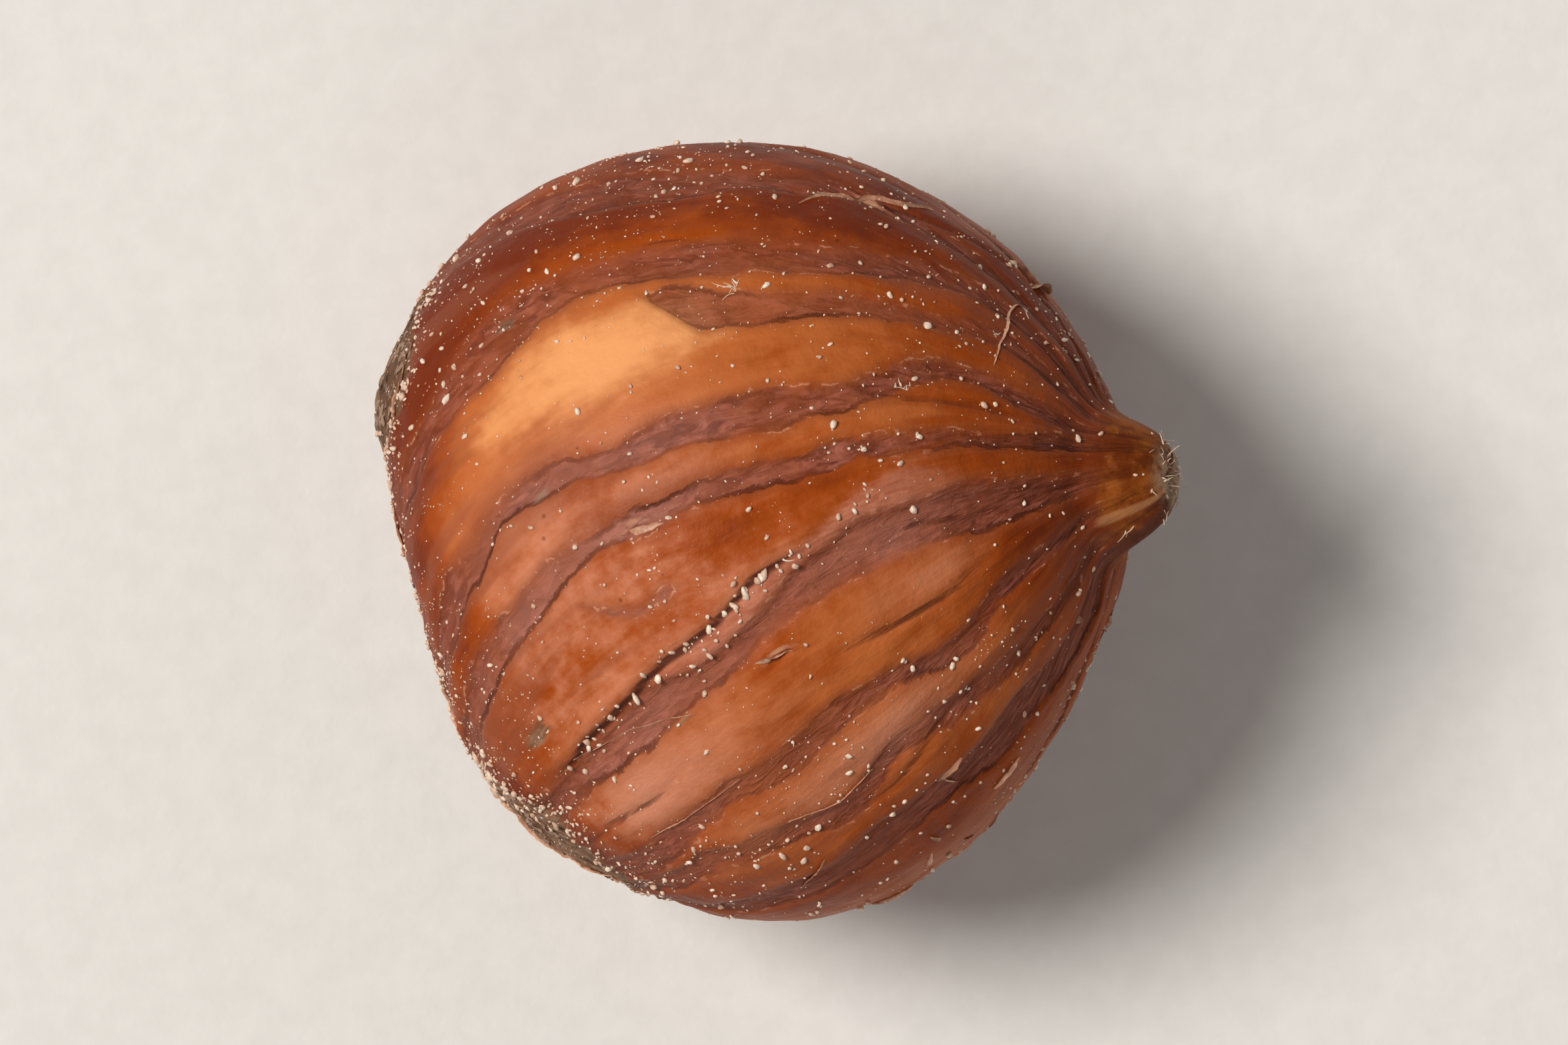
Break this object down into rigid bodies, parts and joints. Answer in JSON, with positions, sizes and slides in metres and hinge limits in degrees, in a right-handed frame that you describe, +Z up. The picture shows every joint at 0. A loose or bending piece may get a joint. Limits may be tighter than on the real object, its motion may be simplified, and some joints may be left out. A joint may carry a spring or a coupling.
{
  "type": "hazelnut kernel",
  "caption": "Round shelled hazelnut kernel in its thin brown skin, lying on its side, with a short blunt beak at one end and a broad flattened base with a corky scar at the other.",
  "frame": {"origin": "below the middle of the bounding box, on the surface that the kernel rests on", "axes": "+Z up; +X from the flattened base towards the beak, which points 7 degrees to the right of +X and rises 21 degrees; +Y across the kernel, its widest way"},
  "size_m": [0.0146, 0.015, 0.0139],
  "materials": {
    "skin": "Thin papery seed skin, satin with a faint waxy gloss: amber to red-brown panels between sunken, wrinkled purple-brown veins that run from beak to base, pale loose grains, and a dull grey-brown corky scar on the base."
  },
  "bodies": {
    "root": {"hazelnut_kernel": "skin"}
  },
  "joints": []
}
